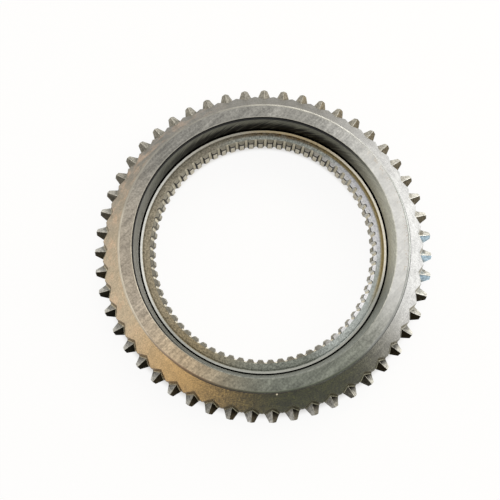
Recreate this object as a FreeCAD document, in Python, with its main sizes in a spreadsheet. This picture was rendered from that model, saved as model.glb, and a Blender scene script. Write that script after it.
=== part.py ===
# Synchronizer ring: one steel ring with dog teeth round the outside, a conical hub with a flat
# front face, a counterbore with a relief groove, and a fine spline in the bore.
# Frame: origin at the centre of the back face, +Z along the ring's axis towards the front face,
# +X through the ridge of one dog tooth. Millimetres and degrees.

import FreeCAD, Part
import os
import re

import Sketcher

doc = FreeCAD.newDocument("synchronizer_ring")

# The driving dimensions. Radial widths stack outwards from the spline, heights start at the back.
SIZES = [
    ("spline_radius", 52.15, "axis to the tips of the spline teeth"),
    ("spline_depth", 1.4, "height of the spline teeth"),
    ("ledge_width", 4.55, "spline floor to the outer edge of the ledge"),
    ("groove_width", 0.5, "relief groove between the ledge and the counterbore's wall"),
    ("undercut", 0.7, "relief groove cut in under that wall"),
    ("undercut_rise", 0.8, "ledge to the lower end of that wall"),
    ("face_width", 6.4, "front face between the counterbore and the cone"),
    ("cone_width", 10.9, "cone from the front face to the floor of the tooth gaps"),
    ("tooth_depth", 4.1, "height of the dog teeth"),
    ("ring_height", 24.5, "back face to front face"),
    ("flange_height", 8.0, "back face to the front of the toothed flange"),
    ("ledge_height", 10.2, "back face to the ledge in the counterbore"),
    ("groove_depth", 3.0, "relief groove below the ledge"),
    ("rim_bevel", 1.5, "width of the bevel along the ledge's outer edge"),
    ("rim_drop", 0.7, "fall of that bevel"),
    ("front_lead", 1.3, "bevel at the front end of the spline"),
    ("back_lead", 1.1, "bevel at the back end of the spline"),
    ("edge_break", 0.35, "bevel on the turned edges"),
    ("cone_lap", 1.1, "how far the cone runs out past the floor of the tooth gaps"),
    ("dog_teeth", 51, "dog teeth round the outside"),
    ("tip_land", 3.15, "width of a dog tooth at its tip"),
    ("gap_floor", 1.9, "width of the floor between two dog teeth"),
    ("foot_bevel", 0.3, "bevel where a flank meets that floor"),
    ("ridge_drop", 0.1, "ridge of a pointed tooth below the flange's front"),
    ("ridge_setback", 1.7, "inner end of a ridge inside the floor of the tooth gaps"),
    ("roof_angle", 43.0, "fall of each roof facet beside the ridge"),
    ("wall_draft", 17.0, "lean of the shoulder wall behind the facets"),
    ("wall_sweep", 22.0, "sweep of that wall to each side of the tooth"),
    ("corner_bevel", 0.45, "bevel in the corner of facet and shoulder wall"),
    ("spline_teeth", 71, "spline teeth in the bore"),
    ("spline_land", 1.9, "width of a spline tooth at its tip"),
    ("spline_floor", 1.2, "width of the floor between two spline teeth"),
    ("spline_bevel", 0.25, "bevel where a spline flank meets that floor"),
    ("spline_turn", 2.24, "turn of the nearest spline tooth from the first dog tooth"),
    ("overrun", 1.0, "how far the cutting outlines run past the blank"),
]

sheet = doc.addObject("Spreadsheet::Sheet", "Sizes")
for row, (alias, value, meaning) in enumerate(SIZES, start=1):
    sheet.set("A%d" % row, meaning)
    sheet.set("B%d" % row, repr(value))
    sheet.setAlias("B%d" % row, alias)
doc.recompute()
ALIASES = {alias for alias, value, meaning in SIZES}

# Radii and angles that follow from the driving dimensions, as formulas
spline_root = "(spline_radius + spline_depth)"
rim_radius = "(%s + ledge_width)" % spline_root
bore_radius = "(%s + groove_width)" % rim_radius
face_radius = "(%s + face_width)" % bore_radius
root_radius = "(%s + cone_width)" % face_radius
tip_radius = "(%s + tooth_depth)" % root_radius
groove_floor = "(ledge_height - groove_depth)"
half_dog_pitch = "(180 deg / dog_teeth)"
half_spline_pitch = "(180 deg / spline_teeth)"


def bound(formula):
    """A formula with each size's name written as the sheet's cell."""
    return re.sub(r"[a-z_]+", lambda word: "Sizes." + word[0] if word[0] in ALIASES else word[0], formula)


def number(formula):
    """What a formula comes to with the sheet as it stands."""
    result = sheet.evalExpression(bound(formula))
    return float(getattr(result, "Value", result))


def origin_part(body, role):
    """The plane or axis of a body's own origin that has this role."""
    return next(item for item in body.Origin.OriginFeatures if item.Role == role)


def outline(body, name, plane, corners, turn="0"):
    """A closed outline of straight lines on one of the body's planes.

    Each corner is a pair of formulas, and both its distances from the sketch's origin are bound to
    the sheet. The sketch may be turned about its own normal.
    """
    sketch = body.newObject("Sketcher::SketchObject", name)
    sketch.AttachmentSupport = [(origin_part(body, plane), "")]
    sketch.MapMode = "FlatFace"
    sketch.AttachmentOffset = FreeCAD.Placement(
        FreeCAD.Vector(0, 0, 0),
        FreeCAD.Rotation(FreeCAD.Vector(0, 0, 1), number(turn)),
    )
    if turn != "0":
        sketch.setExpression("AttachmentOffset.Rotation.Angle", bound(turn))
    points = [FreeCAD.Vector(number(x), number(y), 0) for x, y in corners]
    ends = points[1:] + points[:1]
    for start, end in zip(points, ends):
        sketch.addGeometry(Part.LineSegment(start, end), False)
    for i, (x, y) in enumerate(corners):
        after = (i + 1) % len(corners)
        sketch.addConstraint(Sketcher.Constraint("Coincident", i, 2, after, 1))
        across = sketch.addConstraint(Sketcher.Constraint("DistanceX", -1, 1, i, 1, points[i].x))
        along = sketch.addConstraint(Sketcher.Constraint("DistanceY", -1, 1, i, 1, points[i].y))
        sketch.setExpression("Constraints[%d]" % across, bound(x))
        sketch.setExpression("Constraints[%d]" % along, bound(y))
    return sketch


def gap_outline(body, name, corners, turn):
    """An outline for a gap between two teeth, alike on both sides of the gap's middle line."""
    mirrored = [(x, "-(%s)" % y) for x, y in reversed(corners)]
    return outline(body, name, "XY_Plane", corners + mirrored, turn=turn)


def cut_through(body, name, sketch):
    """A pocket along the whole ring."""
    pocket = body.newObject("PartDesign::Pocket", name)
    pocket.Profile = sketch
    pocket.Refine = False
    pocket.Reversed = True
    pocket.setExpression("Length", bound("ring_height"))
    return pocket


def round_the_axis(body, name, cuts, count):
    """Repeats cuts evenly round the ring's axis."""
    doc.recompute()
    pattern = body.newObject("PartDesign::PolarPattern", name)
    pattern.Originals = cuts
    pattern.Axis = (origin_part(body, "Z_Axis"), [""])
    pattern.Angle = 360
    pattern.Refine = False
    pattern.Occurrences = int(number(count))
    pattern.setExpression("Occurrences", bound(count))
    body.Tip = pattern
    doc.recompute()
    return pattern


def turned_blank(body):
    """The ring before any teeth are cut: half of its section, spun about the axis."""
    section = outline(
        body,
        "BlankSection",
        "XZ_Plane",
        [
            ("spline_radius + back_lead", "0"),
            ("spline_radius", "back_lead"),
            ("spline_radius", "ledge_height - front_lead"),
            ("spline_radius + front_lead", "ledge_height"),
            (rim_radius + " - rim_bevel", "ledge_height"),
            (rim_radius, "ledge_height - rim_drop"),
            (rim_radius, groove_floor),
            (bore_radius + " + undercut", groove_floor),
            (bore_radius + " + undercut", "ledge_height + undercut_rise - undercut"),
            (bore_radius, "ledge_height + undercut_rise"),
            (bore_radius, "ring_height - edge_break"),
            (bore_radius + " + edge_break", "ring_height"),
            (face_radius + " - edge_break", "ring_height"),
            (face_radius + " + edge_break / 2", "ring_height - edge_break / 2"),
            (root_radius + " + cone_lap", "flange_height"),
            (tip_radius, "flange_height"),
            (tip_radius, "edge_break"),
            (tip_radius + " - edge_break", "0"),
        ],
    )
    blank = body.newObject("PartDesign::Revolution", "Blank")
    blank.Profile = section
    blank.ReferenceAxis = (section, ["V_Axis"])
    blank.Angle = 360
    doc.recompute()


def dog_tooth_gaps(body):
    """The gaps between the dog teeth, cut right through with straight flanks."""
    tip_angle = "(%s - asin(tip_land / 2 / %s))" % (half_dog_pitch, tip_radius)
    tip_x = "%s * cos(%s)" % (tip_radius, tip_angle)
    tip_y = "%s * sin(%s)" % (tip_radius, tip_angle)
    flank_slope = "(%s - gap_floor / 2) / (%s - %s)" % (tip_y, tip_x, root_radius)
    sketch = gap_outline(
        body,
        "DogGapOutline",
        [
            (tip_x + " + overrun", tip_y + " + overrun * " + flank_slope),
            (root_radius + " + foot_bevel", "gap_floor / 2 + foot_bevel * " + flank_slope),
            (root_radius, "gap_floor / 2 - foot_bevel"),
        ],
        half_dog_pitch,
    )
    gap = cut_through(body, "DogGap", sketch)
    round_the_axis(body, "DogGaps", [gap], "dog_teeth")


def pointed_teeth(body):
    """Points every dog tooth: two roof facets that meet in a level ridge, with a shoulder wall.

    The section of the cut at the ridge, open at the top, is swept down to both sides along the
    corner of facet and wall, so both stay flat.
    """
    floor = "(flange_height - ridge_drop)"
    start = "(%s - ridge_setback)" % root_radius
    top = "(ring_height + overrun)"
    section = outline(
        body,
        "PointingSection",
        "XZ_Plane",
        [
            (start + " + corner_bevel", floor),
            (tip_radius + " + overrun", floor),
            (tip_radius + " + overrun", top),
            ("%s - (%s - %s) * tan(wall_draft)" % (start, top, floor), top),
            (start + " - corner_bevel * tan(wall_draft)", floor + " + corner_bevel"),
        ],
    )
    outward = "(tan(wall_sweep) + tan(roof_angle) * tan(wall_draft))"
    halves = []
    for name, side in (("PointingLeft", 1), ("PointingRight", -1)):
        half = body.newObject("PartDesign::Pocket", name)
        half.Profile = section
        half.Refine = False
        half.Reversed = side < 0
        half.UseCustomVector = True
        half.AlongSketchNormal = True
        half.Direction = FreeCAD.Vector(0, 1, 0)
        half.setExpression("Direction.x", bound("%d * %s" % (side, outward)))
        half.setExpression("Direction.z", bound("%d * -tan(roof_angle)" % side))
        half.setExpression("Length", bound("(%s + overrun) * sin(%s)" % (tip_radius, half_dog_pitch)))
        halves.append(half)
    round_the_axis(body, "PointedTeeth", halves, "dog_teeth")


def spline_gaps(body):
    """The gaps between the spline teeth, cut right through the bore."""
    tip_angle = "(%s - asin(spline_land / 2 / spline_radius))" % half_spline_pitch
    tip_x = "spline_radius * cos(%s)" % tip_angle
    tip_y = "spline_radius * sin(%s)" % tip_angle
    flank_slope = "(%s - spline_floor / 2) / (%s - %s)" % (tip_y, spline_root, tip_x)
    sketch = gap_outline(
        body,
        "SplineGapOutline",
        [
            (tip_x + " - overrun", tip_y + " + overrun * " + flank_slope),
            (spline_root + " - spline_bevel", "spline_floor / 2 + spline_bevel * " + flank_slope),
            (spline_root, "spline_floor / 2 - spline_bevel / 2"),
        ],
        "spline_turn * 1 deg + " + half_spline_pitch,
    )
    gap = cut_through(body, "SplineGap", sketch)
    round_the_axis(body, "SplineGaps", [gap], "spline_teeth")


ring = doc.addObject("PartDesign::Body", "Ring")
ring.Label = "synchronizer_ring"
turned_blank(ring)
dog_tooth_gaps(ring)
pointed_teeth(ring)
spline_gaps(ring)
ring.Placement = FreeCAD.Placement(FreeCAD.Vector(0, 0, 0), FreeCAD.Rotation())
doc.recompute()

# Every object is sound, and every cut took something away
for item in doc.Objects:
    if "Invalid" in item.State or "Error" in item.State:
        raise RuntimeError("%s failed" % item.Name)
volume = None
for item in ring.Group:
    if not item.isDerivedFrom("PartDesign::Feature"):
        continue
    if volume is not None and item.Shape.Volume > volume - 1:
        raise RuntimeError("%s cut nothing" % item.Name)
    volume = item.Shape.Volume
    print(item.Name, round(volume), len(item.Shape.Faces))
if ring.Shape.isNull() or not ring.Shape.isValid() or len(ring.Shape.Solids) != 1:
    raise RuntimeError("the ring is not one sound solid")

os.makedirs("parts", exist_ok=True)
ring.Shape.exportStep("parts/%s.step" % ring.Label)
print(ring.Label, ring.Shape.BoundBox)
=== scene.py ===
# %% [markdown]
# Lesson: dressing a machined ring
#
# The part is a synchronizer ring from a heavy gearbox: bare steel, turned, toothed and ground. CAD gives
# its solid. This script gives it a surface that light can read: edges that are a little round, and on each
# face the marks of the tool that cut it. Run it cell by cell: each makes one thing and prints what it made.

import math

import bmesh
import bpy
import numpy as np
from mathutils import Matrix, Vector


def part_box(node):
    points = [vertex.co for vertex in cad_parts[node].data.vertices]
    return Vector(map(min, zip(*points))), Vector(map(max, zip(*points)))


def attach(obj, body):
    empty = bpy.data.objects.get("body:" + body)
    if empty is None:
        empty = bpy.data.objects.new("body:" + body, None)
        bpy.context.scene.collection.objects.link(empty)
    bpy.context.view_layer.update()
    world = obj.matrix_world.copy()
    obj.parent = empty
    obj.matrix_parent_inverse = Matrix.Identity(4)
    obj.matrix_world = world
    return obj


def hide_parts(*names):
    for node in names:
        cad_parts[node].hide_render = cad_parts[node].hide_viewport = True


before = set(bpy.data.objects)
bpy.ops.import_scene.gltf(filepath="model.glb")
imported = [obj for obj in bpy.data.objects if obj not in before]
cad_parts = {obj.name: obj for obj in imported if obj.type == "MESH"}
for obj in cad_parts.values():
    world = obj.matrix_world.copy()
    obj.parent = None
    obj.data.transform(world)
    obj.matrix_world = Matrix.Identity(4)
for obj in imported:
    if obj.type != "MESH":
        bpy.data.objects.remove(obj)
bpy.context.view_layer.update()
LOW, HIGH = (np.array(corner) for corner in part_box("synchronizer_ring"))
MM = 0.001
print("The ring is", np.round((HIGH - LOW) / MM, 2), "mm over all")

# %% [markdown]
# A ring is described by its section and by its two rows of teeth. All radii and heights below are the
# solid's own, in millimetres, from the axis and from the back face. Nearly all of the shape is worked out
# from them.

# %% Sizes of the ring
RING_HEIGHT = (HIGH[2] - LOW[2]) / MM
TIP_RADIUS = HIGH[0] / MM
TOOTH_DEPTH = 4.1
CONE_WIDTH = 10.9
FACE_WIDTH = 6.4
ROOT_RADIUS = TIP_RADIUS - TOOTH_DEPTH
FACE_RADIUS = ROOT_RADIUS - CONE_WIDTH
BORE_RADIUS = FACE_RADIUS - FACE_WIDTH
GROOVE_WIDTH = 0.5
RIM_RADIUS = BORE_RADIUS - GROOVE_WIDTH
SPLINE_TIP = 52.15
SPLINE_ROOT = 53.55
LEDGE_HEIGHT = 10.2
GROOVE_DEPTH = 3.0
GROOVE_FLOOR = LEDGE_HEIGHT - GROOVE_DEPTH
UNDERCUT = 0.7
UNDERCUT_RISE = 0.8
WALL_FOOT = LEDGE_HEIGHT + UNDERCUT_RISE
RIM_BEVEL = 1.5
RIM_DROP = 0.7
FRONT_LEAD = 1.3
BACK_LEAD = 1.1
EDGE_BREAK = 0.35
FLANGE_HEIGHT = 8.0
CONE_LAP = 1.1
radii = (SPLINE_TIP, SPLINE_ROOT, RIM_RADIUS, BORE_RADIUS, FACE_RADIUS, ROOT_RADIUS, TIP_RADIUS)
print("Radii, from the bore out:", np.round(radii, 2))

# %% [markdown]
# Both rows of teeth are cut by a tool that steps round the ring, so each row is one gap and a count. A gap
# has a floor, two flanks and small bevels at their feet, and what is left between two gaps is the land of a
# tooth. The angles of the pointing cut, which gives the dog teeth their roofs, are kept as slopes, because
# every height further down is a slope times a distance.

# %% Sizes of the teeth
DOG_TEETH = 51
TIP_LAND = 3.15
GAP_FLOOR = 1.9
FOOT_BEVEL = 0.3
RIDGE_DROP = 0.1
RIDGE_SETBACK = 1.7
RIDGE_HEIGHT = FLANGE_HEIGHT - RIDGE_DROP
RIDGE_START = ROOT_RADIUS - RIDGE_SETBACK
ROOF_FALL = math.tan(math.radians(43))
WALL_LEAN = math.tan(math.radians(17))
WALL_SWEEP = math.tan(math.radians(22))
CORNER_BEVEL = 0.45
RIDGE_ROUND = 0.12
SPLINE_TEETH = 71
SPLINE_LAND = 1.9
SPLINE_FLOOR = 1.2
SPLINE_BEVEL = 0.25
SPLINE_TURN = math.radians(2.24)
print(DOG_TEETH, "dog teeth and", SPLINE_TEETH, "spline teeth")

# %% [markdown]
# A row of teeth seen along the axis is one outline that repeats. The outline of a single gap is easiest to
# write on the gap's own middle line, where it is alike on both sides: a flank, a small bevel at its foot,
# and a floor. So half a gap is a short list of corners, with points spread evenly between them.

# %% Half a gap
def along(corners, steps):
    """Points on straight lines between corners, each side divided evenly into its own number of steps."""
    parts = [
        start + (end - start) * np.linspace(0, 1, count, endpoint=False)[:, None]
        for start, end, count in zip(corners[:-1], corners[1:], steps)
    ]
    return np.vstack(parts + [corners[-1:]])


def half_gap_points(tip, land, root, floor, bevel, slope_side, steps, pitch):
    """Half a gap from the tooth's corner to the middle of the floor, on the gap's middle line.

    tip and root are radii, land and floor are whole widths, and slope_side is 1 where the teeth point
    outwards and -1 where they point inwards. The flank is a straight line from the tooth's corner to the
    floor's corner. The bevel cuts that corner off by its own size along the floor and up the gap.
    """
    tip_angle = pitch / 2 - math.asin(land / 2 / tip)
    corner = np.array([tip * math.cos(tip_angle), tip * math.sin(tip_angle)])
    slope = (corner[1] - floor / 2) / abs(corner[0] - root)
    foot = np.array([root + slope_side * bevel, floor / 2 + bevel * slope])
    toe = np.array([root, floor / 2 - bevel])
    return along(np.array([corner, foot, toe, [root, 0.0]]), steps)


print("A square's side in three steps:", along(np.array([[0, 0], [1, 0]]), (3,))[:, 0].round(3))

# %% [markdown]
# The mirror image of half a gap gives the other half, and turning the whole by the pitch gives the row. It
# is kept in polar form, as a radius for each angle. The ridge of a dog tooth is a thin rounded line, so the
# points on the tip's middle lie close together, and further apart towards its corners.

# %% The row of dog teeth
def tooth_row(half_gap, half_tip, count, turn):
    """Angle and radius of a whole row of teeth, counterclockwise.

    half_gap is half of one gap in x, y, from the tooth's corner to the gap's middle, and half_tip holds the
    angles on half of a tooth's tip, from its middle to its corner. A point's angle is the arctangent of y
    over x, its radius is the root of x squared plus y squared, and tooth k is turned by k times the pitch.
    """
    pitch = 2 * math.pi / count
    gap_angle = np.arctan2(half_gap[:, 1], half_gap[:, 0])
    gap_radius = np.hypot(half_gap[:, 0], half_gap[:, 1])
    angle = np.concatenate([half_tip[:-1], pitch / 2 - gap_angle])
    radius = np.concatenate([np.full(len(half_tip) - 1, gap_radius[0]), gap_radius])
    angle = np.concatenate([angle, pitch - angle[-2:0:-1]])
    radius = np.concatenate([radius, radius[-2:0:-1]])
    turns = turn + pitch * np.arange(count)[:, None]
    return (turns + angle).ravel(), np.tile(radius, count)


DOG_STEPS = (6, 3, 2)
dog_pitch = 2 * math.pi / DOG_TEETH
dog_half = half_gap_points(
    TIP_RADIUS, TIP_LAND, ROOT_RADIUS, GAP_FLOOR, FOOT_BEVEL, 1, DOG_STEPS, dog_pitch
)
ridge_side = np.array([0, 0.05, 0.1, 0.16, 0.24, 0.4, 0.8, 1.2, TIP_LAND / 2])
dog_tip = np.arcsin(ridge_side / TIP_RADIUS)
dog_angle, dog_radius = tooth_row(dog_half, dog_tip, DOG_TEETH, 0.0)
print("Points round the outside:", len(dog_angle))

# %% [markdown]
# The spline's teeth point inwards, which is the -1 below. The row is turned a little against the dog teeth,
# because the two were cut in different set-ups.

# %% The row of spline teeth
SPLINE_STEPS = (3, 2, 2)
spline_pitch = 2 * math.pi / SPLINE_TEETH
spline_half = half_gap_points(
    SPLINE_TIP, SPLINE_LAND, SPLINE_ROOT, SPLINE_FLOOR, SPLINE_BEVEL, -1, SPLINE_STEPS, spline_pitch
)
spline_tip = np.arcsin(np.array([0, 0.45, SPLINE_LAND / 2]) / SPLINE_TIP)
spline_angle, spline_radius = tooth_row(spline_half, spline_tip, SPLINE_TEETH, SPLINE_TURN)
print("Points round the bore:", len(spline_angle))

# %% [markdown]
# The whole skin is made of bands. A band is a grid: one direction runs round the ring and the other runs
# across, from one edge of a surface to the next. Each row of a band is a radius and a height for every
# angle, so a tooth is nothing but a row whose radius or height changes as it goes round. The helper below
# turns such rows into faces and remembers which finish they take.

# %% The band helper
bands = []


def ring_row(angle, radius, height):
    """Points at these angles, radii and heights: x is r cos a, y is r sin a."""
    radius = np.broadcast_to(radius, angle.shape)
    height = np.broadcast_to(height, angle.shape)
    return np.stack([radius * np.cos(angle), radius * np.sin(angle), height], axis=1)


def band(finish, angle, rows):
    """A closed grid through rows of radius and height, with faces whose winding follows the rows' order."""
    points = np.concatenate([ring_row(angle, radius, height) for radius, height in rows])
    across, around = len(rows), len(angle)
    index = np.arange(across * around).reshape(across, around)
    after = np.roll(index, -1, axis=1)
    faces = np.stack([index[:-1], index[1:], after[1:], after[:-1]], axis=-1).reshape(-1, 4)
    bands.append((finish, points, faces))


quarters = np.linspace(0, 2 * math.pi, 4, endpoint=False)
print("Four points of a row:", ring_row(quarters, 1.0, 0.0).round(3).tolist())

# %% [markdown]
# The roof of a pointed tooth is where three surfaces take turns: the hub's cone, the shoulder wall that the
# pointing cutter left, and the flat facet. Walking straight out from the axis, each of them is a straight
# line of height over radius, so the places where one hands over to the next come from one division each.
# The ridge is rounded a little, because a knife-sharp edge never glints and a real one does.

# %% Where cone, wall and facet meet
cone_edge = FACE_RADIUS + EDGE_BREAK / 2
cone_top = RING_HEIGHT - EDGE_BREAK / 2
CONE_FALL = (cone_top - FLANGE_HEIGHT) / (ROOT_RADIUS + CONE_LAP - cone_edge)
tooth_turn = (dog_angle + dog_pitch / 2) % dog_pitch - dog_pitch / 2
aside = np.sqrt(np.sin(tooth_turn) ** 2 + (RIDGE_ROUND / ROOT_RADIUS) ** 2)
ahead = np.cos(tooth_turn)


def cone_height(radius):
    """Height of the cone: it falls evenly from the front face's edge, down to the flange."""
    return np.maximum(cone_top - (radius - cone_edge) * CONE_FALL, FLANGE_HEIGHT)


def facet_height(radius):
    """Height of the roof: ridge height less the fall times the distance to the side of the ridge."""
    return RIDGE_HEIGHT - radius * aside * ROOF_FALL


wall_reach = (WALL_SWEEP * aside - ahead) / WALL_LEAN
wall_zero = RIDGE_HEIGHT + RIDGE_START / WALL_LEAN


def wall_height(radius):
    """Height of the shoulder wall: a steep plane that starts at the ridge's inner end and is swept back."""
    return wall_zero + radius * wall_reach


wall_top = (cone_top + cone_edge * CONE_FALL - wall_zero) / (CONE_FALL + wall_reach)
wall_foot = (RIDGE_HEIGHT - wall_zero) / (wall_reach + aside * ROOF_FALL)
wall_top = np.minimum(wall_top, dog_radius)
corner_top = np.clip(wall_foot - CORNER_BEVEL * WALL_LEAN, wall_top, dog_radius)
corner_foot = np.clip(wall_foot + CORNER_BEVEL, wall_top, dog_radius)
print("The wall is", round(float(np.max(wall_foot - wall_top)), 2), "mm deep at most, seen from the front")


def roof_height(radius):
    """Height of the whole roof: the higher of facet and wall, but nowhere above the cone."""
    roof = np.maximum(facet_height(radius), wall_height(radius))
    return np.minimum(roof, cone_height(radius))


# %% [markdown]
# Every turned edge gets a small round. A corner of the section is replaced by an arc that starts and ends
# the same distance from it. So the section stays a short list of corners and their rounds.

# %% Rounded section lines
def rounded(corners, rounds, steps=3):
    """A line through corners whose inner corners are rounded by quadratic arcs of the given size.

    A quadratic arc from p to q past corner c is (1-t)^2 p + 2t(1-t) c + t^2 q, with t from 0 to 1.
    """
    corners = np.array(corners, float)
    line = [corners[:1]]
    share = np.linspace(0, 1, steps + 1)[:, None]
    for before, corner, after, size in zip(corners[:-2], corners[1:-1], corners[2:], rounds):
        start = corner + (before - corner) * size / np.linalg.norm(before - corner)
        end = corner + (after - corner) * size / np.linalg.norm(after - corner)
        line.append((1 - share) ** 2 * start + 2 * share * (1 - share) * corner + share**2 * end)
    return np.vstack(line + [corners[-1:]])


def turned(finish, angle, corners, rounds):
    """A band turned on the lathe: the rounded line, swept round the axis."""
    band(finish, angle, [(radius, height) for radius, height in rounded(corners, rounds)])


print("A rounded corner has", len(rounded([(0, 0), (1, 0), (1, 1)], [0.3])), "points")

# %% [markdown]
# The outside is a walk from the front face to the back: down the cone, over the shoulder wall and the line
# in its corner, along the facets of the roof, and down the flanks. Cutting the gaps out of a solid disc
# with booleans would give the same form, but with ragged faces where the cuts meet. Here each surface is a
# band of its own, and its edge rows lie exactly where two surfaces cross.

# %% The outside: cone, teeth and their flanks
cone_rows = [cone_edge + (wall_top - cone_edge) * share for share in np.linspace(0, 1, 5)]
band("cone", dog_angle, [(row, cone_height(row)) for row in cone_rows])
band("shoulder", dog_angle, [(row, roof_height(row)) for row in (wall_top, corner_top)])
band("corner", dog_angle, [(row, roof_height(row)) for row in (corner_top, corner_foot)])
facet_rows = [corner_foot + (dog_radius - corner_foot) * share for share in (0, 0.5, 1)]
band("facet", dog_angle, [(row, roof_height(row)) for row in facet_rows])
back_edge = TIP_RADIUS - EDGE_BREAK
flank_foot = np.maximum(0, dog_radius - back_edge)
flank_top = roof_height(dog_radius)
flank_rows = [flank_top + (flank_foot - flank_top) * share for share in (0, 0.5, 1)]
band("flank", dog_angle, [(dog_radius, row) for row in flank_rows])
dog_back = np.minimum(dog_radius, back_edge)
band("back", dog_angle, [(dog_radius, flank_foot), (dog_back, 0.0)])
print(len(bands), "bands for the outside")

# %% [markdown]
# The spline carries the ring on its hub. It runs straight through, and a lead at either end, a short cone,
# lets the hub's teeth find their way in. A lead only lowers the lands, so it is written as a limit: at the
# end of the bore no point may lie closer to the axis than the lead allows.

# %% The spline in the bore
spline_foot = np.maximum(0, SPLINE_TIP + BACK_LEAD - spline_radius)
spline_top = LEDGE_HEIGHT - np.maximum(0, SPLINE_TIP + FRONT_LEAD - spline_radius)
spline_back = np.maximum(spline_radius, SPLINE_TIP + BACK_LEAD)
spline_front = np.maximum(spline_radius, SPLINE_TIP + FRONT_LEAD)
band("back", spline_angle, [(spline_back, 0.0), (spline_radius, spline_foot)])
spline_rows = [spline_foot + (spline_top - spline_foot) * share for share in (0, 0.5, 1)]
band("spline", spline_angle, [(spline_radius, row) for row in spline_rows])
band("lead", spline_angle, [(spline_radius, spline_top), (spline_front, LEDGE_HEIGHT)])
print("The spline is", round(float(spline_top.max()), 2), "mm long with its leads")

# %% [markdown]
# Where the spline ends, the bore steps out to a ledge, which is the seat of the part that goes in here. It
# has a shallow dip and a bevelled rim. They were turned on the lathe, so each is a short line of corners,
# rounded and swept round the axis.

# %% Ledge and rim
DIP_REACH = 0.4
DIP_DEPTH = 0.3
CREST_SETBACK = 0.1
LEDGE_START = 0.3
RIM_SKIRT = 0.5
rim_inner = RIM_RADIUS - RIM_BEVEL
rim_top = LEDGE_HEIGHT - RIM_DROP
rim_foot = rim_top - RIM_SKIRT
dip_inner, dip_outer = rim_inner - DIP_REACH, rim_inner + DIP_REACH
dip_height = LEDGE_HEIGHT - DIP_DEPTH
crest = RIM_RADIUS - CREST_SETBACK
ledge_inner = SPLINE_ROOT + LEDGE_START
band("ledge", spline_angle, [(spline_front, LEDGE_HEIGHT), (ledge_inner, LEDGE_HEIGHT)])
ledge_line = [(ledge_inner, LEDGE_HEIGHT), (dip_inner, LEDGE_HEIGHT)]
ledge_line += [(rim_inner, dip_height), (dip_outer, dip_height)]
turned("ledge", spline_angle, ledge_line, (0.2, 0.2))
rim_line = [(dip_outer, dip_height), (crest, LEDGE_HEIGHT), (RIM_RADIUS, rim_top), (RIM_RADIUS, rim_foot)]
turned("rim", spline_angle, rim_line, (0.1, 0.1))
print("The ledge is", round(dip_inner - SPLINE_TIP - FRONT_LEAD, 2), "mm wide, from the lead to the dip")

# %% [markdown]
# Beyond the rim lies a narrow relief groove, so that nothing catches in the seat's corner. A small undercut
# widens it at the foot of the wall. From there the wall of the counterbore rises to the front face, and
# both of the face's edges are broken by a small bevel. A cut with booleans could do the same, but a line of
# corners shows each size once.

# %% Groove, counterbore and edges
WALL_START = 0.3
EDGE_ROUND = 0.12
groove_radius = BORE_RADIUS + UNDERCUT
wall_bottom = WALL_FOOT + WALL_START
groove_line = [(RIM_RADIUS, rim_foot), (RIM_RADIUS, GROOVE_FLOOR), (groove_radius, GROOVE_FLOOR)]
groove_line += [(groove_radius, WALL_FOOT - UNDERCUT), (BORE_RADIUS, WALL_FOOT), (BORE_RADIUS, wall_bottom)]
turned("groove", spline_angle, groove_line, (0.15, 0.15, 0.1, 0.1))
face_inner = BORE_RADIUS + EDGE_BREAK
wall_line = [(BORE_RADIUS, wall_bottom), (BORE_RADIUS, RING_HEIGHT - EDGE_BREAK)]
wall_line += [(face_inner, RING_HEIGHT), (face_inner + EDGE_BREAK, RING_HEIGHT)]
turned("wall", spline_angle, wall_line, (EDGE_ROUND, EDGE_ROUND))
edge_line = [(FACE_RADIUS - 2 * EDGE_BREAK, RING_HEIGHT), (FACE_RADIUS - EDGE_BREAK, RING_HEIGHT)]
edge_line.append((cone_edge, cone_top))
turned("edge", dog_angle, edge_line, (EDGE_ROUND,))
print("The counterbore is", round(RING_HEIGHT - LEDGE_HEIGHT, 2), "mm deep;", len(bands), "bands by now")

# %% [markdown]
# The flat faces join two circles that are divided differently: the spline's on the inside and the dog
# teeth's on the outside. A bridge of triangles, which always takes the nearest next point of either circle,
# closes them without a gap. Blender's own fill would leave long slivers.

# %% The two flat faces
def bridge(finish, inner, outer, height, upward):
    """A flat annulus between two circles that are divided differently.

    inner and outer are pairs of angles and radii. All the angles are sorted into one list, and each of them
    closes one triangle: its own point, the latest point on the other circle and the point that comes next.
    """
    points = np.concatenate([ring_row(a, r, height) for a, r in (inner, outer)])
    n_in, n_out = len(inner[0]), len(outer[0])
    turn = 2 * math.pi
    in_angle, out_angle = inner[0] % turn, outer[0] % turn
    in_order, out_order = np.argsort(in_angle), np.argsort(out_angle)
    is_inner = np.concatenate([np.ones(n_in, bool), np.zeros(n_out, bool)])
    order = np.argsort(np.concatenate([in_angle[in_order], out_angle[out_order]]), kind="stable")
    is_inner = is_inner[order]
    i = np.cumsum(is_inner) - 1
    j = np.cumsum(~is_inner) - 1
    i_at, j_at = in_order[i % n_in], n_in + out_order[j % n_out]
    i_next, j_next = in_order[(i + 1) % n_in], n_in + out_order[(j + 1) % n_out]
    own_next = np.roll(is_inner, -1)
    third = np.where(own_next, i_next, j_next)
    faces = np.stack([i_at, j_at, third], axis=1)
    bands.append((finish, points, faces if upward else faces[:, ::-1]))


inner_circle = (spline_angle, np.full(len(spline_angle), face_inner + EDGE_BREAK))
outer_circle = (dog_angle, np.full(len(dog_angle), FACE_RADIUS - 2 * EDGE_BREAK))
bridge("face", inner_circle, outer_circle, RING_HEIGHT, upward=True)
bridge("back", (spline_angle, spline_back), (dog_angle, dog_back), 0.0, upward=False)
print("The front face is", round(outer_circle[1].min() - face_inner - EDGE_BREAK, 2), "mm wide")

# %% [markdown]
# The bands share their edge rows, so merging points that lie on one spot closes them into one skin. Edges
# that turn by more than a set angle are marked sharp. All others are shaded smooth, which is what makes a
# cone look round.

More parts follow.
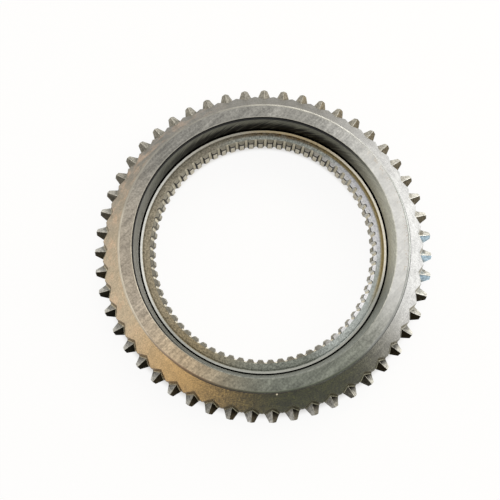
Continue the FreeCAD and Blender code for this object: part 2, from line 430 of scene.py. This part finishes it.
# %% One closed skin
FINISHES = ["face", "cone", "edge", "wall", "groove", "rim", "ledge", "lead", "spline"]
FINISHES += ["shoulder", "corner", "facet", "flank", "back"]
SHARP_ANGLE = math.radians(24)
WELD = 2e-6


def placed(name, data):
    """A new object of the scene that holds this data."""
    thing = bpy.data.objects.new(name, data)
    bpy.context.scene.collection.objects.link(thing)
    return thing


def skin(name):
    """One mesh from all the bands, with a material index for each band's finish."""
    starts = np.cumsum([0] + [len(points) for _, points, _ in bands])
    points = np.concatenate([points for _, points, _ in bands]) * MM
    faces, finish_of = [], []
    for (finish, _, band_faces), start in zip(bands, starts):
        faces += (band_faces + start).tolist()
        finish_of += [FINISHES.index(finish)] * len(band_faces)
    mesh = bpy.data.meshes.new(name)
    mesh.from_pydata(points.tolist(), [], faces)
    mesh.polygons.foreach_set("material_index", finish_of)
    shape = bmesh.new()
    shape.from_mesh(mesh)
    bmesh.ops.remove_doubles(shape, verts=shape.verts, dist=WELD)
    open_edges = sum(1 for edge in shape.edges if len(edge.link_faces) != 2)
    volume = shape.calc_volume() / MM**3
    shape.to_mesh(mesh)
    shape.free()
    mesh.shade_smooth()
    mesh.set_sharp_from_angle(angle=SHARP_ANGLE)
    print(name, "has", len(mesh.polygons), "faces and", open_edges, "open edges")
    print("It encloses", round(volume), "cubic millimetres")
    return placed(name, mesh)


ring = skin("ring_skin")
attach(ring, "root")
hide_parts("synchronizer_ring")

# %% [markdown]
# The camera stands almost straight above the ring, a little towards the viewer, as a person who looks down
# at it on a table. It was placed by the ring's own circles, so it is given by the place of its lens and two
# small tilts.

# %% Camera
from mathutils import Matrix, Vector

SENSOR = 36.0
PHOTO_SIDE = 500
HALF_PIXEL = 0.5 / PHOTO_SIDE
FOCAL_PIXELS = 536.2
CAMERA_PLACE = Vector((-5.72, -40.22, 259.56))
TOOTH_TURN = math.radians(2.364)
TILT_ACROSS = math.radians(8.876)
TILT_ASIDE = math.radians(0.065)

camera_data = bpy.data.cameras.new("camera")
camera_data.sensor_width = SENSOR
camera_data.lens = FOCAL_PIXELS / PHOTO_SIDE * SENSOR
camera_data.shift_x = -HALF_PIXEL
camera_data.shift_y = HALF_PIXEL
camera = placed("camera", camera_data)
turn_to_ring = Matrix.Rotation(TOOTH_TURN, 4, "Z")
tilt = Matrix.Rotation(TILT_ASIDE, 4, "Y") @ Matrix.Rotation(TILT_ACROSS, 4, "X")
camera.matrix_world = turn_to_ring @ Matrix.Translation(CAMERA_PLACE * MM) @ tilt
bpy.context.scene.camera = camera
bpy.context.scene.view_settings.view_transform = "Standard"
print("The lens is", round(camera_data.lens, 1), "mm long")

# %% [markdown]
# Finishes are built with nodes, and nodes are easier to read as arithmetic. A small class holds one socket
# and overloads the operators, so that an expression such as `1 - mask * 0.4` adds its own Math nodes.

# %% A wire for shader maths
class Wire:
    """One output socket. Arithmetic on it adds Math nodes to its board."""

    def __init__(self, board, socket):
        self.board, self.socket = board, socket

    def math(self, operation, *values):
        return self.board.add("ShaderNodeMath", {"operation": operation}, dict(enumerate(values)))

    def __add__(self, other):
        return self.math("ADD", self, other)

    def __sub__(self, other):
        return self.math("SUBTRACT", self, other)

    def __rsub__(self, other):
        return self.math("SUBTRACT", other, self)

    def __mul__(self, other):
        return self.math("MULTIPLY", self, other)

    def __truediv__(self, other):
        return self.math("DIVIDE", self, other)

    def __pow__(self, other):
        return self.math("POWER", self, other)

    __radd__ = __add__
    __rmul__ = __mul__

    def size(self):
        """The value without its sign."""
        return self.math("ABSOLUTE", self)

    def sine(self):
        return self.math("SINE", self)

    def between(self, low, high):
        """A smooth step: 0 below low, 1 above high."""
        sockets = {"Value": self, "From Min": low, "From Max": high}
        return self.board.add("ShaderNodeMapRange", {"interpolation_type": "SMOOTHSTEP"}, sockets)


print("A wire knows", [name.strip("_") for name in vars(Wire) if callable(vars(Wire)[name])])

# %% [markdown]
# Every other node comes from one method of the board: the node's type, its settings, then the values or
# links of its sockets. Colours go through Mix and Vector Math nodes, because a Math node would turn them
# grey. The other helpers are nodes that a finish needs again and again.

# %% A board for shader nodes
class Board:
    """The nodes of one material or world."""

    def __init__(self, owner):
        owner.use_nodes = True
        self.tree = owner.node_tree
        self.tree.nodes.clear()

    def add(self, kind, settings, sockets, output=0):
        """A new node: its settings come first, then a value or a wire for each named or numbered socket."""
        node = self.tree.nodes.new(kind)
        for name, value in settings.items():
            setattr(node, name, value)
        for name, value in sockets.items():
            if isinstance(value, Wire):
                self.tree.links.new(value.socket, node.inputs[name])
            else:
                node.inputs[name].default_value = value
        return Wire(self, node.outputs[output]) if len(node.outputs) else None

    def mix(self, amount, low, high):
        """One colour turning into another as the amount goes from 0 to 1."""
        return self.add("ShaderNodeMix", {"data_type": "RGBA"}, {0: amount, 6: low, 7: high}, output=2)

    def scaled(self, colour, factor):
        """A colour or vector times a number."""
        return self.add("ShaderNodeVectorMath", {"operation": "SCALE"}, {0: colour, "Scale": factor})

    def noise(self, vector, scale, detail=3.0, rough=0.55):
        """Noise from about 0 to 1, around one half."""
        sockets = {"Vector": vector, "Scale": scale, "Detail": detail, "Roughness": rough}
        return self.add("ShaderNodeTexNoise", {"noise_dimensions": "3D"}, sockets)

    def swing(self, noise, amount):
        """A factor around 1 that follows a noise."""
        return (noise - 0.5) * amount + 1

    def vector(self, x, y, z):
        return self.add("ShaderNodeCombineXYZ", {}, {0: x, 1: y, 2: z})


def paint(red, green, blue):
    """A colour given as it looks on a screen, from 0 to 255, as the linear values that a shader wants."""
    shares = np.array([red, green, blue]) / 255
    linear = np.where(shares <= 0.04045, shares / 12.92, ((shares + 0.055) / 1.055) ** 2.4)
    return (*linear.tolist(), 1.0)


print("Middle grey on the screen is", round(paint(128, 128, 128)[0], 3), "to a shader")

# %% [markdown]
# Bare steel mirrors the room round it, and the room isn't equally bright all round, so soft, broad tints
# are painted into the colour as painted reflections: palest on one side, cream and golden on others and
# dark on one. Each tint has a heading, in degrees counterclockwise from the middle of the first tooth, then
# half of the arc that it fills and half of the arc that it reaches.

# %% The broad tints
PALE_SIDE = (-28, 31, 109)
CREAM_SIDE = (240, 2, 107)
GOLDEN_SIDE = (260, 2, 52)
DARK_SIDE = (291, 2, 55)
print("Tints lie towards", PALE_SIDE[0], CREAM_SIDE[0], GOLDEN_SIDE[0], "and", DARK_SIDE[0], "degrees")

# %% [markdown]
# Most of the ring's marks follow its own axis, so each finish first works out where a point is: how far
# from the axis, and in which direction. Object coordinates give that on any piece whose object sits at the
# origin, and they hold still when the camera moves.

# %% Where a point is on the ring
class RingBoard(Board):
    """A board that knows a point's place on the ring, in millimetres."""

    def __init__(self, owner):
        super().__init__(owner)
        place = self.add("ShaderNodeTexCoord", {}, {}, output="Object")
        self.place = self.scaled(place, 1 / MM)
        split = self.add("ShaderNodeSeparateXYZ", {}, {0: self.place})
        outputs = split.socket.node.outputs
        self.x, self.y, self.z = (Wire(self, outputs[i]) for i in range(3))
        self.radius = (self.x * self.x + self.y * self.y) ** 0.5
        self.angle = self.x.math("ARCTAN2", self.y, self.x)

    def heading(self, degrees, core, reach):
        """1 within core degrees of a direction from the axis, falling to 0 at reach degrees from it."""
        turn = math.radians(degrees)
        lean = (self.x * math.cos(turn) + self.y * math.sin(turn)) / self.radius
        return lean.between(math.cos(math.radians(reach)), math.cos(math.radians(core)))

    def spot(self, degrees, radius, width):
        """1 at one place on the ring, falling to 0 half a width away from it."""
        turn = math.radians(degrees)
        aside, away = self.x - radius * math.cos(turn), self.y - radius * math.sin(turn)
        return 1 - ((aside * aside + away * away) ** 0.5).between(width * 0.2, width * 0.5)

    def tints(self, plain, pale, cream, golden, dark):
        """The broad tints round the ring, painted reflections of the room, one laid over the other."""
        colour = self.mix(self.heading(*PALE_SIDE), plain, pale)
        colour = self.mix(self.heading(*CREAM_SIDE), colour, cream)
        colour = self.mix(self.heading(*GOLDEN_SIDE), colour, golden)
        return self.mix(self.heading(*DARK_SIDE), colour, dark)

    def finish(self, colour, metallic, roughness, height=None, depth=0.0, gloss=0.5):
        """The closing shader, with a bump of some depth in millimetres if a height from 0 to 1 is given.

        Gloss is the specular level of the part that isn't metallic: it is low on oil, and where painted
        shade must stay dark.
        """
        sockets = {"Base Color": colour, "Metallic": metallic, "Roughness": roughness}
        sockets["Specular IOR Level"] = gloss
        if height is not None:
            bump = {"Height": height, "Distance": depth * MM, "Strength": 1.0}
            sockets["Normal"] = self.add("ShaderNodeBump", {}, bump)
        shader = self.add("ShaderNodeBsdfPrincipled", {}, sockets)
        self.add("ShaderNodeOutputMaterial", {}, {"Surface": shader})


print("Places are read in millimetres:", round(1 / MM), "to the metre")

# %% [markdown]
# Each finish gets a material of its own, kept in a dictionary under the finish's name. One material for the
# whole ring, with masks for every surface, would do as well, but it would be far harder to read and to
# change.

# %% One material for each finish
materials = {}


def board_for(name):
    """A fresh material's board, kept under its finish's name."""
    materials[name] = bpy.data.materials.new("steel_" + name)
    return RingBoard(materials[name])


def show_finishes(*names):
    """Print how many shader nodes each finish was built from."""
    for name in names:
        print("Finish", name, "has", len(materials[name].node_tree.nodes), "shader nodes")


print("Finishes to come:", ", ".join(FINISHES))

# %% [markdown]
# The front face was ground flat under a straight-running wheel. Its marks are long fine lines that all run
# one way, whatever the ring's own shape. Noise gives such lines when it is squeezed across them and
# stretched along them.

# %% The ground face
GRIND_TURN = math.radians(46)


def grinding(board, fine, long):
    """Noise in straight lines: fine cells to the millimetre across them, long cells along them."""
    across = board.y * math.cos(GRIND_TURN) - board.x * math.sin(GRIND_TURN)
    onward = board.x * math.cos(GRIND_TURN) + board.y * math.sin(GRIND_TURN)
    return board.noise(board.vector(across * fine, onward * long, board.z), 1.0)


def ground_face():
    board = board_for("face")
    lines = grinding(board, 0.9, 0.05)
    wide = grinding(board, 0.3, 0.03)
    patches = board.noise(board.place, 0.16)
    grain = board.noise(board.place, 1.2, detail=2.0)
    # The tints are painted reflections of the room; the stains are the steel's own.
    plain, pale, cream = paint(127, 125, 119), paint(203, 202, 198), paint(175, 163, 146)
    colour = board.tints(plain, pale, cream, paint(192, 171, 141), paint(118, 121, 111))
    stains = grain.between(0.52, 0.66) * board.radius.between(61.5, 63.5) * board.heading(14, 12, 40)
    colour = board.mix(stains * 0.6, colour, paint(150, 134, 112))
    dull = 1 - board.heading(8, 24, 52) * 0.7
    shade = board.swing(lines, dull * 1.1) * board.swing(wide, dull * 0.8)
    shade = shade * board.swing(patches, 0.6) * board.swing(grain, dull * 1.3)
    board.finish(board.scaled(colour, shade), 0.8, 0.5 - lines * 0.2, lines, 0.01)


ground_face()
show_finishes("face")

# %% [markdown]
# The cone is where the mating ring grips, so it is smooth, with very short fine marks that run up the
# slope. Its tints, painted reflections of the room, are the strongest of all, and a warm patch on its left
# side is a painted reflection too. A thin dark line of painted shade lies in places along its upper edge,
# and one small bright nick sits there.

# %% The polished cone
NICK_HEADING = 277.0
NICK_WIDTH = 1.1
EDGE_SHADE_BAND = (FACE_RADIUS + 0.45, FACE_RADIUS + 0.7)


def polished_cone():
    board = board_for("cone")
    marks = board.noise(board.vector(board.angle * 110, board.radius * 0.35, board.z * 0.1), 1.0)
    lines = grinding(board, 0.9, 0.06)
    patches = board.noise(board.place, 0.16)
    grain = board.noise(board.place, 1.5, detail=2.0)
    # The tints are painted reflections of the room.
    plain, pale, cream = paint(99, 94, 80), paint(232, 232, 230), paint(204, 183, 149)
    colour = board.tints(plain, pale, cream, paint(199, 160, 99), paint(50, 51, 20))
    # A warm patch on the left side: painted reflection.
    warm_reflection = patches.between(0.45, 0.65) * board.heading(170, 25, 70)
    colour = board.mix(warm_reflection * 0.4, colour, paint(198, 160, 124))
    # A thin dark line of painted shade along the upper edge.
    edge_shade = (1 - board.radius.between(*EDGE_SHADE_BAND)) * patches.between(0.2, 0.4)
    colour = board.mix(edge_shade * board.heading(334, 36, 52), colour, paint(66, 68, 64))
    colour = board.mix(edge_shade * board.heading(266, 14, 34), colour, paint(46, 32, 18))
    oily = board.heading(286, 16, 44)
    shade = board.swing(marks, oily * 1.0 + 0.4) * board.swing(lines, oily * 1.6 + 0.5)
    shade = shade * board.swing(patches, oily * 0.6 + 0.7) * board.swing(grain, oily * 2.4 + 1.2)
    nick = board.spot(NICK_HEADING, FACE_RADIUS + 0.9, NICK_WIDTH)
    colour = board.mix(nick, board.scaled(colour, shade), paint(220, 208, 180))
    board.finish(colour, 0.85, 0.46 - marks * 0.2, marks, 0.006)


polished_cone()
show_finishes("cone")

# %% [markdown]
# The small turned edges are painted light by direction, as painted highlights and reflections, and the
# relief groove at the foot of the wall never sees light and is painted nearly black, as painted shade. Both
# are narrow, so a tint and a little wear are enough for them.

# %% Edges and groove
def edge_wear_and_highlight():
    board = board_for("edge")
    wear = board.noise(board.vector(board.angle * 9, board.z, board.radius * 0.2), 1.0)
    # The tints are painted highlights and reflections; the noise is wear.
    plain, pale, cream = paint(138, 135, 126), paint(184, 184, 180), paint(224, 213, 192)
    colour = board.tints(plain, pale, cream, paint(150, 122, 96), paint(112, 116, 102))
    # On the right the edge is painted greyer, as painted shade.
    outer = board.radius.between(FACE_RADIUS - 1.5, FACE_RADIUS - 1.0)
    colour = board.mix(outer * board.heading(352, 30, 44), colour, paint(152, 153, 148))
    board.finish(board.scaled(colour, board.swing(wear, 0.8)), 0.85, 0.4)


def black_groove():
    board = board_for("groove")
    shade_mottle = board.noise(board.place, 0.8)
    # Nearly black: painted shade in the groove.
    board.finish(board.mix(shade_mottle, paint(6, 6, 5), paint(34, 31, 26)), 0.0, 0.8, gloss=0.1)


edge_wear_and_highlight()
black_groove()
show_finishes("edge", "groove")

# %% [markdown]
# The counterbore's wall is painted dark on the far side, as a painted reflection of the shadow, and lighter
# on the near one and on the right, as painted light. The tool left faint slanting marks, which also streak
# the painted shade, and a black line of painted shade lies under its upper edge, whose own small bevel
# carries a painted highlight.

# %% The counterbore's wall
BRIM = (22.1, 22.5)
LIP = (BORE_RADIUS + 0.28, BORE_RADIUS + 0.36)


def bored_wall():
    board = board_for("wall")
    slanting = board.noise(board.vector(board.angle * 40 + board.z * 0.6, board.z * 0.06, 0.0), 1.0)
    grain = board.noise(board.place, 1.0, detail=2.0)
    # The tones by direction are painted light: lighter on the near side and on the right.
    colour = board.mix(board.heading(312, 18, 46), paint(110, 112, 105), paint(130, 133, 125))
    colour = board.mix(board.heading(184, 14, 42), colour, paint(138, 138, 132))
    colour = board.mix(board.heading(20, 14, 44), colour, paint(200, 200, 186))
    # Painted shade on the far side, lighter towards the top and in slanting streaks.
    upper = (board.z + slanting * 9).between(20.0, 24.5) * 0.9 + slanting.between(0.52, 0.64) * 0.45
    shadow = board.mix(upper, paint(10, 10, 8), paint(118, 118, 106))
    colour = board.mix(board.heading(92, 22, 72), colour, shadow)
    # A black line of painted shade under the upper edge.
    brim = board.z.between(*BRIM) * board.heading(140, 80, 118)
    colour = board.mix(brim, colour, paint(8, 8, 6))
    # The bevel's tints are a painted highlight.
    lip = board.radius.between(*LIP)
    plain, pale, cream = paint(150, 147, 138), paint(200, 198, 188), paint(206, 196, 176)
    painted_light_tone = board.tints(plain, pale, cream, paint(150, 140, 120), paint(126, 127, 118))
    colour = board.mix(lip, colour, painted_light_tone)
    shade = board.swing(slanting, 0.8) * board.swing(grain, 0.8)
    board.finish(board.scaled(colour, shade), 0.35, 0.45, slanting, 0.003, gloss=0.15)


bored_wall()
show_finishes("wall")

# %% [markdown]
# The ledge was only turned, and old oil lies on it, golden next to its rim on one side. Near the spline it
# is painted pale and a little bluish towards the far side and the right, as painted light, and its tints
# are painted reflections. The rim itself is a bevel painted as a highlight, the brightest line inside the
# ring.
# The spline's lead is painted lighter on the far side and nearly white on the right, as painted light. The
# stains are given by the radii between which they fade in, in millimetres.

# %% The ledge with its rim
INNER_HALF = (54.6, 55.6)
OIL_STAIN = (54.6, 56.4)
GOLD_STAIN = (54.8, 56.0)


def ledge_stains_and_light():
    board = board_for("ledge")
    mottle = board.noise(board.place, 0.55, detail=5.0, rough=0.65)
    speckle = board.noise(board.place, 1.2, detail=2.0)
    turning = board.noise(board.vector(board.angle * 4, board.radius * 3.0, 0.0), 1.0)
    # The tints are painted reflections; the oil and gold stains below are the steel's own.
    plain, pale, cream = paint(164, 156, 138), paint(198, 202, 200), paint(154, 142, 118)
    colour = board.tints(plain, pale, cream, paint(138, 124, 96), paint(122, 125, 116))
    # Pale near the spline, towards the far side and the right: painted light.
    inner = 1 - board.radius.between(*INNER_HALF)
    colour = board.mix(inner * board.heading(72, 20, 50) * 0.8, colour, paint(206, 212, 204))
    colour = board.mix(inner * board.heading(14, 20, 48), colour, paint(244, 244, 252))
    oil = board.heading(62, 20, 50) * board.radius.between(*OIL_STAIN) * mottle.between(0.3, 0.65)
    colour = board.mix(oil, colour, paint(132, 100, 44))
    # A grey towards the lower right: painted reflection.
    colour = board.mix(board.heading(330, 16, 38), colour, paint(184, 189, 185))
    gold = board.heading(22, 28, 54) * board.radius.between(*GOLD_STAIN)
    colour = board.mix(gold, colour, paint(182, 162, 112))
    damp = board.heading(5, 30, 60) * 1.4
    shade = board.swing(mottle, 0.7) * board.swing(turning, 0.5) * board.swing(speckle, 2.2 - damp)
    board.finish(board.scaled(colour, shade), 0.25, 0.5, mottle, 0.006, gloss=0.3)


def rim_wear_and_highlight():
    board = board_for("rim")
    wear = board.noise(board.place, 0.8)
    # The rim's tones by direction are a painted highlight; the noise is wear.
    colour = board.mix(board.heading(104, 24, 60), paint(160, 160, 152), paint(198, 194, 180))
    colour = board.mix(board.heading(72, 12, 34), colour, paint(208, 190, 152))
    colour = board.mix(board.heading(22, 16, 44), colour, paint(246, 240, 224))
    colour = board.mix(board.heading(172, 16, 54), colour, paint(224, 223, 216))
    board.finish(board.scaled(colour, board.swing(wear, 0.5)), 0.7, 0.3)


def spline_lead():
    board = board_for("lead")
    wear = board.noise(board.place, 1.3)
    # Lighter on the far side and nearly white on the right: painted light.
    colour = board.mix(board.heading(90, 30, 110), paint(110, 106, 94), paint(168, 162, 146))
    colour = board.mix(board.heading(5, 30, 70), colour, paint(252, 252, 255))
    board.finish(board.scaled(colour, board.swing(wear, 1.0)), 0.15, 0.5, gloss=0.3)


ledge_stains_and_light()
rim_wear_and_highlight()
spline_lead()
show_finishes("ledge", "rim", "lead")

# %% [markdown]
# On the spline the floors of the gaps are light, and so are the lands, which are painted lighter on the far
# side, as painted light. The flanks carry painted shade, nearly black on the far side, and painted light,
# nearly white, on the right. The top of each land, just below the lead, is a dark band, and a pocket of
# painted shade lies at the top of each gap, except on the far side. Radius alone tells land, flank and
# floor apart.

# %% The spline
def spline_light_and_shade():
    board = board_for("spline")
    streaks = board.noise(board.vector(board.angle * 70, board.z * 0.3, board.radius), 1.0)
    land = 1 - board.radius.between(SPLINE_TIP + 0.08, SPLINE_TIP + 0.3)
    floor = board.radius.between(SPLINE_ROOT - 0.3, SPLINE_ROOT - 0.1)
    lead_foot = LEDGE_HEIGHT - FRONT_LEAD
    # Flanks: painted shade, nearly black on the far side, and painted light, nearly white, on the right.
    colour = board.mix(board.heading(90, 40, 80), paint(118, 114, 102), paint(18, 15, 10))
    colour = board.mix(board.heading(5, 20, 55), colour, paint(236, 238, 238))
    colour = board.mix(floor, colour, paint(232, 226, 206))
    # Lands: painted lighter on the far side.
    painted_light_tone = board.mix(board.heading(90, 40, 90), paint(150, 146, 132), paint(222, 217, 202))
    colour = board.mix(land, colour, painted_light_tone)
    land_top_band = land * board.z.between(lead_foot - 1.7, lead_foot - 1.4)
    # A pocket of painted shade at the top of each gap.
    pocket_shade = board.z.between(lead_foot - 0.9, lead_foot)
    pocket_shade = pocket_shade * board.radius.between(SPLINE_TIP + 0.5, SPLINE_ROOT - 0.5)
    pocket_shade = pocket_shade * (1 - board.heading(90, 40, 70))
    colour = board.mix(land_top_band.math("MAXIMUM", land_top_band, pocket_shade), colour, paint(16, 14, 10))
    board.finish(board.scaled(colour, board.swing(streaks, 0.8)), 0.2, 0.5, gloss=0.12)


spline_light_and_shade()
show_finishes("spline")

# %% [markdown]
# The roof of each dog tooth was milled: flat facets with short marks that run down from the ridge, and a
# bright line on the ridge, partly wear and partly painted highlight. Under one light the two facets of a
# tooth look quite different, so each side has its own row of tints: painted light, shade and reflection.
# One side also gets painted shade near the root, and a few facets a painted reflection of the window. The
# sine of the angle times the number of teeth tells which side a point is on.

# %% The facets of the dog teeth
def tooth_side(board):
    """Which side of its ridge a point is on: above 0 counterclockwise of it, below 0 clockwise."""
    return (board.angle * DOG_TEETH).sine()


def milled_facets():
    board = board_for("facet")
    side = tooth_side(board)
    aside_mm = side.size() * board.radius * (1 / DOG_TEETH)
    milling = board.noise(board.vector(aside_mm * 2.0, board.radius * 0.6, board.angle * 40), 1.0)
    grain = board.noise(board.place, 1.0, detail=2.0)
    tip = board.radius.between(RIDGE_START + 1.4, TIP_RADIUS - 1.0)
    # Each side's tints by direction are painted light, shade and reflection.
    leading = board.mix(board.heading(352, 22, 66), paint(156, 151, 138), paint(214, 211, 200))
    leading = board.mix(board.heading(228, 28, 84), leading, paint(70, 61, 43))
    leading = board.mix(board.heading(212, 8, 24), leading, paint(36, 33, 24))
    # Painted shade near the root on one side.
    leading = board.mix((1 - tip) * board.heading(286, 24, 60), leading, paint(22, 18, 10))
    trailing = board.mix(board.heading(210, 26, 58), paint(150, 146, 135), paint(190, 188, 180))
    trailing = board.mix(board.heading(42, 26, 60), trailing, paint(134, 124, 104))
    trailing = board.mix(board.heading(280, 10, 24), trailing, paint(196, 193, 186))
    trailing = board.mix(board.heading(330, 10, 34), trailing, paint(50, 43, 27))
    # A painted reflection of the room's cool window, with a smoother surface there.
    window = board.heading(0, 9, 12.5)
    trailing = board.mix(window, trailing, paint(190, 206, 216))
    colour = board.mix(side.between(-0.02, 0.02), trailing, leading)
    colour = board.scaled(colour, board.swing(milling, 0.9) * board.swing(grain, 1.9))
    # The ridge line: partly wear, partly painted highlight.
    ridge = 1 - aside_mm.between(0.06, 0.22)
    plain, pale, cream = paint(164, 160, 148), paint(232, 230, 222), paint(196, 190, 174)
    wear_and_highlight = board.tints(plain, pale, cream, paint(172, 166, 148), paint(160, 156, 142))
    colour = board.mix(ridge * grain.between(0.3, 0.6), colour, wear_and_highlight)
    board.finish(colour, 0.8, 0.42 - window * 0.24, milling, 0.004, gloss=0.3)


milled_facets()
show_finishes("facet")

# %% [markdown]
# Behind the facets stands the shoulder wall. Its corner, where the cutter's round edge ran, is painted
# light, as a painted highlight. Below the facets are the flanks, which were cut by the gear hob and are
# painted dark, as painted shade. All three take the tints, painted reflections of the room. Wall and flanks
# have fine streaks that run along the cut.

# %% Corner, shoulder and flanks of the dog teeth
def corner_line():
    board = board_for("corner")
    wear = board.noise(board.place, 0.7)
    # Its light tints are a painted highlight along the corner and painted reflections; the noise is wear.
    plain, pale, cream = paint(140, 136, 124), paint(196, 194, 186), paint(184, 174, 148)
    colour = board.tints(plain, pale, cream, paint(172, 158, 128), paint(142, 138, 116))
    board.finish(board.scaled(colour, board.swing(wear, 2.2)), 0.8, 0.4)


def shoulder_wall():
    board = board_for("shoulder")
    streaks = board.noise(board.vector(board.angle * 60, board.radius, board.z * 0.4), 1.0)
    # The tints are painted reflections of the room.
    plain, pale, cream = paint(118, 114, 103), paint(160, 156, 144), paint(150, 130, 100)
    colour = board.tints(plain, pale, cream, paint(150, 118, 74), paint(84, 80, 58))
    board.finish(board.scaled(colour, board.swing(streaks, 0.9)), 0.6, 0.5, gloss=0.15)


def shaded_flank():
    board = board_for("flank")
    streaks = board.noise(board.vector(board.angle * 80, board.radius, board.z * 0.3), 1.0)
    # Dark tints: painted shade, varied by direction as painted reflections.
    plain, pale, cream = paint(84, 80, 72), paint(112, 110, 104), paint(50, 42, 30)
    colour = board.tints(plain, pale, cream, paint(34, 28, 18), paint(28, 25, 17))
    board.finish(board.scaled(colour, board.swing(streaks, 0.9)), 0.6, 0.5, gloss=0.2)


corner_line()
shoulder_wall()
shaded_flank()
show_finishes("corner", "shoulder", "flank")

# %% [markdown]
# The back lies on the table and was only turned flat. It gets faint circles from the lathe and a few
# stains, so that it isn't blank when the ring is turned over. With it the finishes are complete, and the
# skin takes them in the order of its material indices.

# %% The back face
def turned_back():
    board = board_for("back")
    turning = board.noise(board.vector(board.angle * 2, board.radius * 2.5, 0.0), 1.0)
    patches = board.noise(board.place, 0.1)
    colour = board.mix(patches.between(0.4, 0.7), paint(146, 142, 134), paint(128, 120, 106))
    board.finish(board.scaled(colour, 0.8 + turning * 0.35), 0.85, 0.42 - turning * 0.1, turning, 0.004)


turned_back()
for name in FINISHES:
    ring.data.materials.append(materials[name])
print("The ring has", len(ring.data.materials), "finishes")

# %% [markdown]
# The ring lies on a plain pale floor, one large square. It is stage, and no part of the object.

# %% Floor
FLOOR_HALF = 3.0

floor_mesh = bpy.data.meshes.new("floor")
floor_corners = [(x * FLOOR_HALF, y * FLOOR_HALF, 0.0) for x, y in ((-1, -1), (1, -1), (1, 1), (-1, 1))]
floor_mesh.from_pydata(floor_corners, [], [(0, 1, 2, 3)])
floor = placed("floor", floor_mesh)
print("The floor is", 2 * FLOOR_HALF, "m wide")

# %% [markdown]
# To the lens, and to the steel that mirrors it, the floor is almost pure white, as in a catalogue. More
# light would do that too, but it would bleach the steel. A share of the true shading stays mixed in, so
# that the ring still casts a soft shadow. Two zones keep more of it, as contact shadows: under the near
# teeth, and under the far side of the bore.

# %% White paper
PAPER = (0.88, 0.80, 0.67, 1.0)
WHITE = (1.0, 1.0, 1.0, 1.0)
SHADOW_SHARE = 0.08
CONTACT_SHARE = 0.42

paper = bpy.data.materials.new("white_paper")
paper_board = Board(paper)
matt = paper_board.add("ShaderNodeBsdfDiffuse", {}, {"Color": PAPER})
glow = paper_board.add("ShaderNodeEmission", {}, {"Color": WHITE, "Strength": 1.0})
seen_by_any = 0
for kind in ("Camera", "Glossy", "Transmission"):
    seen = paper_board.add("ShaderNodeLightPath", {}, {}, output="Is %s Ray" % kind)
    seen_by_any = seen.math("MAXIMUM", seen_by_any, seen)
place = paper_board.add("ShaderNodeTexCoord", {}, {}, output="Object")
reach = paper_board.add("ShaderNodeVectorMath", {"operation": "LENGTH"}, {0: place}, output="Value") / MM
split = paper_board.add("ShaderNodeSeparateXYZ", {}, {0: paper_board.scaled(place, 1 / MM)})
far_off = Wire(paper_board, split.socket.node.outputs[1])
near = (0 - far_off).between(20, 55)
far = far_off.between(20, 45)
under_teeth = reach.between(ROOT_RADIUS - 2, ROOT_RADIUS) * near
under_teeth = under_teeth * (1 - reach.between(TIP_RADIUS - 3, TIP_RADIUS))
under_bore = reach.between(SPLINE_TIP - 1.1, SPLINE_TIP + 0.8) * far
under_bore = under_bore * (1 - reach.between(ROOT_RADIUS - 4, ROOT_RADIUS - 2))
share = (under_teeth + under_bore) * (CONTACT_SHARE - SHADOW_SHARE) + SHADOW_SHARE
floor_shader = paper_board.add("ShaderNodeMixShader", {}, {0: seen_by_any * (1 - share), 1: matt, 2: glow})
paper_board.add("ShaderNodeOutputMaterial", {}, {"Surface": floor_shader})
floor_mesh.materials.append(paper)
print("The paper keeps", SHADOW_SHARE, "to", CONTACT_SHARE, "of its own shading")

# %% [markdown]
# Bare steel shows the room that it lies in. The world is a plain grey studio, brighter high up on the far
# side and dark low down towards the viewer, which is what tells one facet of a tooth from the other. A
# cool, low window on the near side, a little to the right, glints in a few facets. The lens itself sees
# only white.

# %% The room
world = bpy.data.worlds.new("studio")
bpy.context.scene.world = world
sky = Board(world)
direction = sky.add("ShaderNodeTexCoord", {}, {}, output="Generated")


def side_of_room(heading, rise, core, reach):
    """1 within core degrees of a direction in the room, falling to 0 at reach degrees from it."""
    turn, tip = math.radians(heading), math.radians(rise)
    aim = (math.cos(tip) * math.cos(turn), math.cos(tip) * math.sin(turn), math.sin(tip))
    sockets = {0: direction, 1: aim}
    lean = sky.add("ShaderNodeVectorMath", {"operation": "DOT_PRODUCT"}, sockets, output="Value")
    return lean.between(math.cos(math.radians(reach)), math.cos(math.radians(core)))


PLAIN_ROOM = 0.72
WINDOW = 0.8
level = PLAIN_ROOM + side_of_room(80, 40, 10, 80) * 0.45 - side_of_room(275, 5, 30, 80) * 0.62
window = side_of_room(289, 12, 8, 18) * WINDOW
tone = sky.vector(level + window * 0.86, level * 0.995 + window * 0.96, level * 0.98 + window)
backdrop = sky.add("ShaderNodeBackground", {}, {"Color": tone, "Strength": 1.0})
white_room = sky.add("ShaderNodeBackground", {}, {"Color": WHITE, "Strength": 1.0})
seen_by_lens = sky.add("ShaderNodeLightPath", {}, {}, output="Is Camera Ray")
room = sky.add("ShaderNodeMixShader", {}, {0: seen_by_lens, 1: backdrop, 2: white_room})
sky.add("ShaderNodeOutputWorld", {}, {"Surface": room})
print("The room is", PLAIN_ROOM, "bright, and its window adds", WINDOW)

# %% [markdown]
# Two large lamps, one beyond the ring and one to its right, add the soft shadow. A sun would give the teeth
# shadows with hard edges.

# %% Two soft lamps
def soft_lamp(name, place, side, watts):
    """A square lamp that looks at the ring."""
    lamp = bpy.data.lights.new(name, "AREA")
    lamp.size, lamp.energy = side, watts
    holder = placed(name, lamp)
    holder.location = place
    holder.rotation_euler = (-Vector(place)).to_track_quat("-Z", "Y").to_euler()


soft_lamp("far_lamp", (0.25, 0.85, 0.7), 0.5, 4.0)
soft_lamp("right_lamp", (0.9, 0.25, 0.6), 0.4, 3.0)

# %% [markdown]
